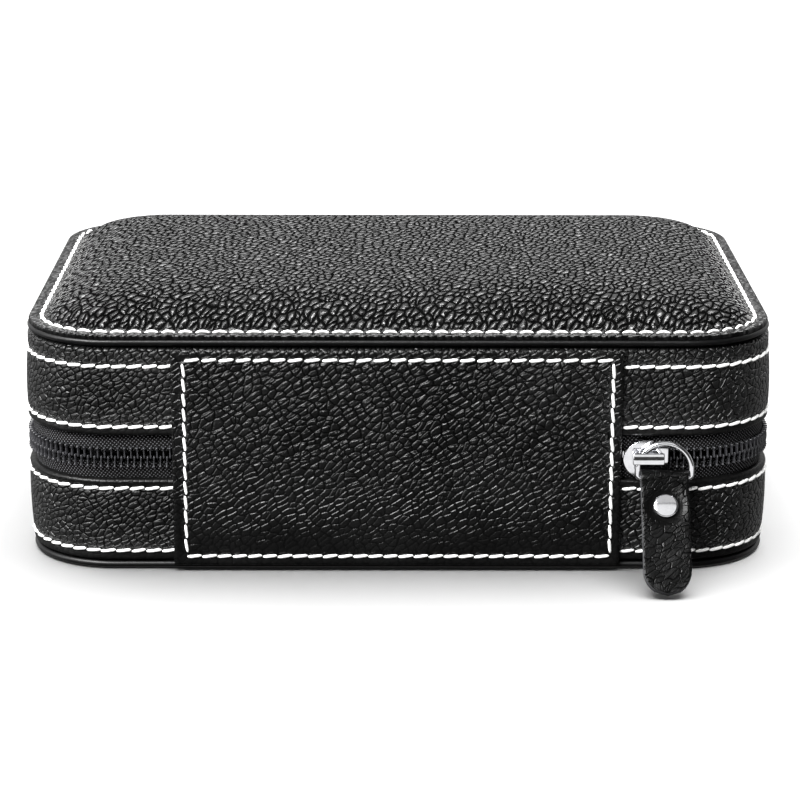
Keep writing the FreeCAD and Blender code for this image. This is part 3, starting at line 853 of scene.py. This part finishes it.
def band_thread(node, rows, body):
    """Two rows of stitches round the wall, from one edge of the spine to the other."""
    clear = spine_half + band_seam_clear
    places = []
    for row in rows:
        for distance in evenly(clear, outline_length(0) - clear, stitch_pitch):
            place, ahead = outline_at(0, distance)
            out = outward(ahead)
            seat = place + out * wall_out(row) + Vector((0, 0, row))
            places.append(stitch_place(seat, ahead, out))
    sewn = copies(f"{node}_thread", one_stitch(band_arch), places)
    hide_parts(node)
    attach(sewn, body)


def top_thread():
    """The row of stitches round the flat border of the top."""
    level = top_low[2] + border_t + top_thread_rise
    places = []
    for distance in evenly(0, outline_length(top_seam_inset), top_pitch):
        place, ahead = outline_at(top_seam_inset, distance)
        places.append(stitch_place(place + Vector((0, 0, level)), ahead, Vector((0, 0, 1))))
    sewn = copies("lid_top_thread", one_stitch(top_arch), places)
    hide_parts("lid_top_stitching")
    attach(sewn, "lid")


def spine_thread():
    """The four rows of stitches that hold the spine."""
    x_end = spine_half - spine_seam_margin
    low = spine_low[2] + spine_seam_margin
    high = spine_high[2] - spine_seam_margin
    out = Vector((0, -1, 0))
    face = spine_low[1] + spine_thread_sink
    places = []
    for z, pitch in ((low, stitch_pitch), (high, top_pitch)):
        for x in evenly(-x_end, x_end, pitch):
            places.append(stitch_place(Vector((x, face, z)), Vector((1, 0, 0)), out))
    for x in (-x_end, x_end):
        for z in evenly(low + stitch_width, high - stitch_width, stitch_pitch):
            places.append(stitch_place(Vector((x, face, z)), Vector((0, 0, 1)), out))
    sewn = copies("spine_sewn_thread", one_stitch(band_arch), places)
    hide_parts("spine_stitching")
    folds_with_lid(sewn)


# Zip

def zip_tape(node, body):
    """One half of the woven tape, round three sides of the case, with a corded edge at the coil."""
    low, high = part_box(node)
    towards = 1 if body == "base" else -1
    cord = high[2] if body == "base" else low[2]
    face = []
    for step in range(tape_steps + 1):
        z = low[2] + (high[2] - low[2]) * step / tape_steps
        near = (cord - z) * towards
        ridge = cord_rise * math.exp(-((near - cord_inset) / cord_width) ** 2)
        bulge = chain_bulge * eased(bulge_end - near, 0, bulge_run)
        face.append((ridge + bulge - tape_inset, z))
    section = face + [(out - tape_t, z) for out, z in reversed(face)]
    tape = swept_round(f"{node}_weave", section, spine_half - tape_tuck)
    unrolled(tape)
    finished(tape, tape_cloth)
    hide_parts(node)
    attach(tape, body)


def one_coil_loop():
    """One loop of the coil, standing on z = 0 at its sewn end, with a thicker head that locks."""
    bpy.ops.object.select_all(action="DESELECT")
    bpy.ops.mesh.primitive_circle_add(vertices=8, radius=0.5, fill_type="NGON")
    loop = named("coil_loop")
    edit(loop)
    bpy.ops.transform.resize(value=(loop_width, loop_depth, 1), center_override=(0, 0, 0))
    level = 0.0
    for rise, size in loop_steps:
        drawn((loop_lean * mm * rise, 0, rise * mm))
        level += rise * mm
        bpy.ops.transform.resize(value=(size, 1.0 + (size - 1.0) * 0.5, 1),
                                 center_override=(0, 0, level))
    closed_up(loop)
    finished(loop, coil_nylon, 180.0)
    return loop


def coil(node, side, offset_share, body):
    """One row of coil loops, from the slider round to the far edge of the spine. The lid's loops
    next to the slider are held in its mouth and stay meshed with the base's."""
    end = outline_length(tape_inset) - spine_half - chain_end_gap
    count = int((end - chain_start) / coil_pitch)
    pitch = (end - chain_start) / count
    across = Vector((0, 0, -side))
    free, held = [], []
    for number in range(count):
        place, ahead = outline_at(tape_inset, chain_start + (number + offset_share) * pitch)
        lift = Vector((0, 0, zip_z + side * coil_reach))
        foot = place + outward(ahead) * (coil_out + chain_bulge) + lift
        turn = Matrix((ahead, across.cross(ahead), across)).transposed().to_4x4()
        at_slider = body == "lid" and place.y < 0 < place.x < mouth_end
        (held if at_slider else free).append(Matrix.Translation(foot) @ turn)
    row = copies(f"{node}_loops", one_coil_loop(), free)
    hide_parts(node)
    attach(row, body)
    if held:
        row = copies(f"{node}_held_loops", one_coil_loop(), held)
        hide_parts(node)
        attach(row, "base")


# Slider and pull

def softened(node, width, finish, body):
    """A copy of a solid with its edges rounded by a real maker's radius."""
    piece = from_solid(f"{node}_soft", node)
    bpy.ops.mesh.dissolve_limited(angle_limit=math.radians(1.5))
    rounded(piece, width, segments=3, angle_deg=40)
    finished(piece, finish)
    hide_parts(node)
    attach(piece, body)


def bridge():
    """The bridge on the slider's face that the ring runs in: a bar with a slanted upper front and
    blunt ends, on two legs."""
    low, high = (Vector(p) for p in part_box("slider_crown"))
    # The bar's two far corners, set off a little from the box of the solid
    bar_low = Vector((low.x + 0.6 * mm, low.y + 0.5 * mm, zip_z - 0.3 * mm))
    bar_high = Vector((high.x + 0.5 * mm, low.y + 1.65 * mm, zip_z + 2.7 * mm))
    leg = 1.1 * mm
    leg_drop = 0.9 * mm
    tier = 1.6 * mm
    slant = 0.5 * mm
    bpy.ops.object.select_all(action="DESELECT")
    bpy.ops.mesh.primitive_cube_add(size=1.0, location=(bar_low + bar_high) / 2)
    bar = sized("slider_bridge", bar_high - bar_low)
    edit(bar)
    for place, across in (((0, 0, bar_low.z + tier), (0, 0, 1)),
                          ((bar_low.x + leg, 0, 0), (1, 0, 0)),
                          ((bar_high.x - leg, 0, 0), (1, 0, 0))):
        bpy.ops.mesh.select_all(action="SELECT")
        bpy.ops.mesh.bisect(plane_co=place, plane_no=across)
    pick_edges(bar, lambda p: p.y < bar_low.y + weld and p.z > bar_high.z - weld)
    bpy.ops.transform.translate(value=(0, slant, 0))
    pick_faces(bar, lambda centre, normal: normal.y > 0.9 and not
               bar_low.x + leg < centre.x < bar_high.x - leg)
    drawn((0, high.y - bar_high.y, -leg_drop))
    closed_up(bar)
    rounded(bar, width=0.3 * mm, segments=4, angle_deg=50)
    finished(bar, chrome_plate)
    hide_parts("slider_crown")
    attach(bar, "slider")


def ring():
    """The D-ring of thick plated wire."""
    wire = from_solid("pull_ring_wire", "pull_ring")
    bpy.ops.transform.shrink_fatten(value=ring_thicker)
    finished(wire, chrome_plate, 60.0)
    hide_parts("pull_ring")
    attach(wire, "ring")


def tab_section():
    """The folded strip's outer face as (down, out) pairs, up the front, over the bar and down the
    back."""
    front = [(tab_length + (tab_flat_top - tab_length) * n / flat_steps, tab_half_t)
             for n in range(flat_steps)]
    for step in range(swell_steps):
        share = step / swell_steps
        swell = (tab_roll_r - tab_half_t) * eased(share, 0, 1)
        front.append((tab_flat_top * (1 - share), tab_half_t + swell))
    roll = []
    for step in range(roll_steps + 1):
        angle = math.pi * step / roll_steps
        roll.append((-tab_roll_r * math.sin(angle), tab_roll_r * math.cos(angle)))
    back = [(down, -out) for down, out in reversed(front)]
    return front + roll + back


def off_rivet(place):
    """How far a place on the pull lies from the middle of its rivet."""
    return math.hypot(place.x - tab_bar.x, (place - tab_bar).dot(tab_down) - rivet_drop)


def folded_tab():
    """The leather pull: one strip folded round the ring's bar, its two ends cut round together."""
    section = tab_section()
    rows = len(section) - 1
    width = tab_high[0] - tab_low[0]
    end_r = width / 2
    bpy.ops.object.select_all(action="DESELECT")
    bpy.ops.mesh.primitive_grid_add(x_subdivisions=20, y_subdivisions=rows, size=1.0)
    tab = named("pull_tab_strip")
    run = [0.0]
    for (down, out), (next_down, next_out) in zip(section, section[1:]):
        run.append(run[-1] + math.hypot(next_down - down, next_out - out))
    layer = tab.data.uv_layers.active
    for loop in tab.data.loops:
        place = tab.data.vertices[loop.vertex_index].co
        layer.data[loop.index].uv = (place.x * width, run[round((place.y + 0.5) * rows)])
    for point in tab.data.vertices:
        down, out = section[round((point.co.y + 0.5) * rows)]
        from_end = min(1.0, max(0.0, (tab_length - down) / end_r))
        across = 2 * point.co.x * end_r * math.sqrt(max(0.0, 1 - (1 - from_end) ** 2))
        if out > 0:
            near = math.hypot(across, down - rivet_drop)
            out -= rivet_dent * math.exp(-(near / rivet_dent_r) ** 2)
        point.co = tab_bar + Vector((across, 0, 0)) + tab_down * down + tab_out * out
    edit(tab)
    bpy.ops.mesh.remove_doubles(threshold=weld)
    only(tab)
    grained(tab, lambda p: eased(off_rivet(p), *rivet_fade))
    tab.data.materials.append(pull_leather)
    tab.data.materials.append(cut_edge)
    modified(tab, "SOLIDIFY", thickness=tab_leather_t, offset=-1.0, material_offset_rim=1)
    rounded(tab, width=0.22 * mm, segments=2, angle_deg=60)
    bpy.ops.object.shade_smooth_by_angle(angle=math.radians(50))
    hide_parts("pull_tab")
    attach(tab, "tab")


def rivet():
    """The rivet's front head: a thin domed disc with a rolled rim."""
    centre = tab_bar + tab_down * rivet_drop
    places = [centre + Vector((share * rivet_r, 0, 0)) + tab_out * (tab_half_t + rise * mm)
              for share, rise in rivet_profile]
    head = traced("rivet_cap_disc", places)
    bpy.ops.mesh.spin(steps=40, angle=2 * math.pi, axis=tab_out, center=centre)
    closed_up(head)
    finished(head, chrome_plate, 60.0)
    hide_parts("rivet_cap")
    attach(head, "tab")


# Lining, dividers and pillows

def hinge_lining():
    """The lining cloth behind the hinge."""
    low, high = (Vector(p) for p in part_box("hinge_lining_strip"))
    low.x, high.x = -spine_half + lining_inset, spine_half - lining_inset
    strip = bending_panel("hinge_lining_cloth", low, high, columns=80, rows=16,
                          shape=lambda x, z: 0.0, thickness=lining_t)
    finished(strip, velvet)
    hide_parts("hinge_lining_strip")
    folds_with_lid(strip)


def swollen(piece, cap):
    """Blows a cushion up like stuffing does, no further than cap, as a cloth under pressure."""
    before = [point.co.copy() for point in piece.data.vertices]
    only(piece)
    cloth = piece.modifiers.new("Stuffing", "CLOTH")
    cloth.settings.use_pressure = True
    cloth.settings.uniform_pressure_force = stuffing_pressure
    cloth.settings.effector_weights.gravity = 0.0
    for number in range(1, stuffing_frames + 1):
        bpy.context.scene.frame_set(number)
    bpy.ops.object.modifier_apply(modifier=cloth.name)
    bpy.context.scene.frame_set(1)
    for point, start in zip(piece.data.vertices, before):
        moved = point.co - start
        if moved.length > cap:
            point.co = start + moved.normalized() * cap


def watch_pillows():
    """Four stuffed velvet pillows, sewn shut at both ends, one in each quarter of the tray."""
    first = "watch_pillow_front_left"
    low, high = (Vector(p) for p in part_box(first))
    centre = (low + high) / 2
    seam = (high - low).x / 2 * pillow_seam_at
    pillow = from_solid("pillow", first)
    bpy.ops.transform.resize(value=pillow_shrink, center_override=centre)
    modified(pillow, "REMESH", mode="VOXEL", voxel_size=pillow_voxel)
    swollen(pillow, pillow_swell)
    modified(pillow, "SUBSURF", levels=1, render_levels=1)
    for point in pillow.data.vertices:
        away = point.co - centre
        groove = math.exp(-((abs(away.x) - seam) / pillow_seam_width) ** 2)
        point.co -= Vector((0, away.y, away.z)) * pillow_seam_depth * groove
        for axis in range(3):
            point.co[axis] = min(max(point.co[axis], low[axis]), high[axis])
    for side_y in ("front", "back"):
        for side_x in ("left", "right"):
            node = f"watch_pillow_{side_y}_{side_x}"
            place = (Vector(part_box(node)[0]) + Vector(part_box(node)[1])) / 2
            copy = copied(f"{node}_stuffed", pillow.data)
            copy.data.transform(Matrix.Translation(place - centre))
            finished(copy, velvet, 180.0)
            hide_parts(node)
            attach(copy, "base")
    bpy.data.objects.remove(pillow)


def lid_pad():
    """The soft pad in the lid's roof, domed downwards, with a sewn line round its edge."""
    low, high = (Vector(p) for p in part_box("lid_inner_pad"))
    depth = high.z - low.z
    pad = rounded_plate("lid_inner_padding", high.x, high.y, high.z,
                        corner_radius - (half_x - high.x))
    drawn((0, 0, -depth * pad_wall_share))
    reached = 0.0
    for inward, drop in pad_rings:
        drawn_in(-depth * drop, high.x, high.y, reached, inward * mm)
        reached = inward * mm
    closed_up(pad)
    finished(pad, velvet, 60.0)
    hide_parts("lid_inner_pad")
    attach(pad, "lid")


def dress(nodes, finish):
    """Gives solids that keep their own shape a finish."""
    for node in nodes:
        mesh = frame["nodes"][node].data
        mesh.materials.clear()
        mesh.materials.append(finish)


# Stage

def paper_floor():
    """A flat white paper floor 40 m wide, which doesn't show in reflections."""
    bpy.ops.object.select_all(action="DESELECT")
    bpy.ops.mesh.primitive_plane_add(size=40.0)
    floor = named("studio_floor")
    paper = speckled("studio_paper", "#dedede", "#e4e4e4", 40.0, (0.9, 1.0), 0.0)
    floor.data.materials.append(paper)
    floor.visible_glossy = False
    return floor


def room_glow():
    """A dim room with a bright wall behind the case, which fades upwards and below the floor."""
    world = bpy.data.worlds.new("studio")
    bpy.context.scene.world = world
    world.use_nodes = True
    tree = world.node_tree
    space = add(tree, "ShaderNodeTexCoord")
    parts = add(tree, "ShaderNodeSeparateXYZ", {0: space.outputs["Generated"]})
    behind = add(tree, "ShaderNodeMapRange", {"Value": parts.outputs["Y"]},
                 {"From Min": -0.2, "From Max": 0.6, "To Max": 0.85},
                 interpolation_type="SMOOTHSTEP")
    low = add(tree, "ShaderNodeMapRange", {"Value": parts.outputs["Z"]},
              {"From Min": 0.15, "From Max": 0.9, "To Min": 1.0, "To Max": 0.0})
    above = add(tree, "ShaderNodeMapRange", {"Value": parts.outputs["Z"]},
                {"From Min": -0.2, "From Max": 0.05, "To Min": 0.35},
                interpolation_type="SMOOTHSTEP")
    wall = add(tree, "ShaderNodeMath", {0: above.outputs[0], 1: low.outputs[0]},
               operation="MULTIPLY")
    glow = add(tree, "ShaderNodeMath", {0: behind.outputs[0], 1: wall.outputs[0]}, {2: 0.05},
               operation="MULTIPLY_ADD")
    background = tree.nodes["Background"]
    background.inputs["Color"].default_value = (1, 1, 1, 1)
    wired(tree, background, Strength=glow.outputs[0])


def lamps(floor):
    """Soft lights. The floor and the case are lit apart, as in a catalogue picture. Of the white
    floor in front, only the bright metal and the coil show a reflection."""
    floor_set = bpy.data.collections.new("paper")
    case_set = bpy.data.collections.new("case")
    mirror_set = bpy.data.collections.new("mirrors")
    for piece in bpy.data.objects:
        if piece.type == "MESH":
            (floor_set if piece == floor else case_set).objects.link(piece)
            if {chrome_plate, coil_nylon} & set(piece.data.materials):
                mirror_set.objects.link(piece)
    bpy.ops.object.light_add(type="SUN", location=(0.0, -0.5, 1.5),
                             rotation=(math.radians(-18), 0, 0))
    sky = bpy.context.object
    sky.name = "floor_skylight"
    sky.data.angle = math.radians(80)
    sky.data.energy = 4.0
    sky.light_linking.receiver_collection = floor_set
    # Name, place, aim, width and height, watts, and what it lights
    cards = (
        ("key_softbox", (-0.7, -0.75, 1.1), (0.0, 0.0, 0.03), (1.1, 0.6), 66.0, case_set),
        ("side_card", (-1.0, -0.2, 0.35), (0.0, 0.0, 0.03), (0.5, 0.7), 5.0, case_set),
        ("top_strip", (0.0, 0.6, 1.05), (0.0, 0.0, 0.03), (1.6, 0.6), 45.0, case_set),
        ("floor_softbox", (0.0, 0.27, 1.6), (0.0, 0.27, 0.0), (2.4, 1.15), 22.0, floor_set),
        ("high_card", (0.1, -0.48, 0.98), (0.06, -0.08, 0.02), (1.0, 0.5), 0.9, mirror_set),
        ("front_card", (0.1, -0.97, 0.7), (0.06, -0.08, 0.02), (1.0, 0.62), 1.8, mirror_set),
        ("floor_bounce", (0.05, -0.42, 0.0005), (0.05, -0.42, 1.0), (0.9, 0.6), 1.7, mirror_set),
    )
    for name, place, aim, size, power, receivers in cards:
        bpy.ops.object.light_add(type="AREA", location=place)
        lamp = bpy.context.object
        lamp.name = name
        lamp.rotation_euler = (Vector(aim) - Vector(place)).to_track_quat("-Z", "Y").to_euler()
        lamp.data.shape = "RECTANGLE"
        lamp.data.size, lamp.data.size_y = size
        lamp.data.energy = power
        lamp.visible_camera = False
        lamp.light_linking.receiver_collection = receivers


def camera():
    """A long lens that looks a little down on the spine side. Its place and turn were fitted to the
    case's outline in the photo."""
    pan, tilt, roll = -0.00495, 0.28254, 0.00236
    turn = Matrix.Rotation(pan, 3, "Z") @ Matrix.Rotation(math.pi / 2 - tilt, 3, "X")
    turn = turn @ Matrix.Rotation(roll, 3, "Z")
    bpy.ops.object.camera_add(location=(-0.0029455, -0.7396564, 0.2415488),
                              rotation=turn.to_euler())
    eye = bpy.context.object
    eye.data.lens = 119.28
    eye.data.sensor_width = 36.0
    bpy.context.scene.camera = eye


dress(("lid_edge_piping", "base_edge_piping", "base_bottom_leather"), edge_leather)
dress(("rivet_post", "zip_stop_left", "zip_stop_right"), chrome_plate)
dress(("base_liner_wall", "base_liner_floor", "lid_liner_wall"), velvet)
dress(("base_floor_board", "base_wall_board", "lid_wall_board", "lid_top_board"), bookboard)
dress(("lid_foam_pad",), foam)
leather_band("lid_band_leather", lid_low[2], lid_high[2], lid_rows, lid_high[2] + 1 * mm, "lid")
leather_band("base_band_leather", base_low[2], base_high[2], base_rows, base_rows[1], "base")
crowned_top()
spine()
band_thread("lid_band_stitching", lid_rows, "lid")
band_thread("base_band_stitching", base_rows, "base")
top_thread()
spine_thread()
zip_tape("zip_tape_lower", "base")
zip_tape("zip_tape_upper", "lid")
coil("zip_teeth_lower", -1, 1.0, "base")
coil("zip_teeth_upper", 1, 0.5, "lid")
softened("slider_body", 0.22 * mm, chrome_plate, "slider")
bridge()
ring()
folded_tab()
rivet()
softened("long_divider", 0.6 * mm, velvet, "base")
softened("cross_divider", 0.6 * mm, velvet, "base")
hinge_lining()
watch_pillows()
lid_pad()
lamps(paper_floor())
room_glow()
camera()
bpy.context.scene.view_settings.view_transform = "Standard"
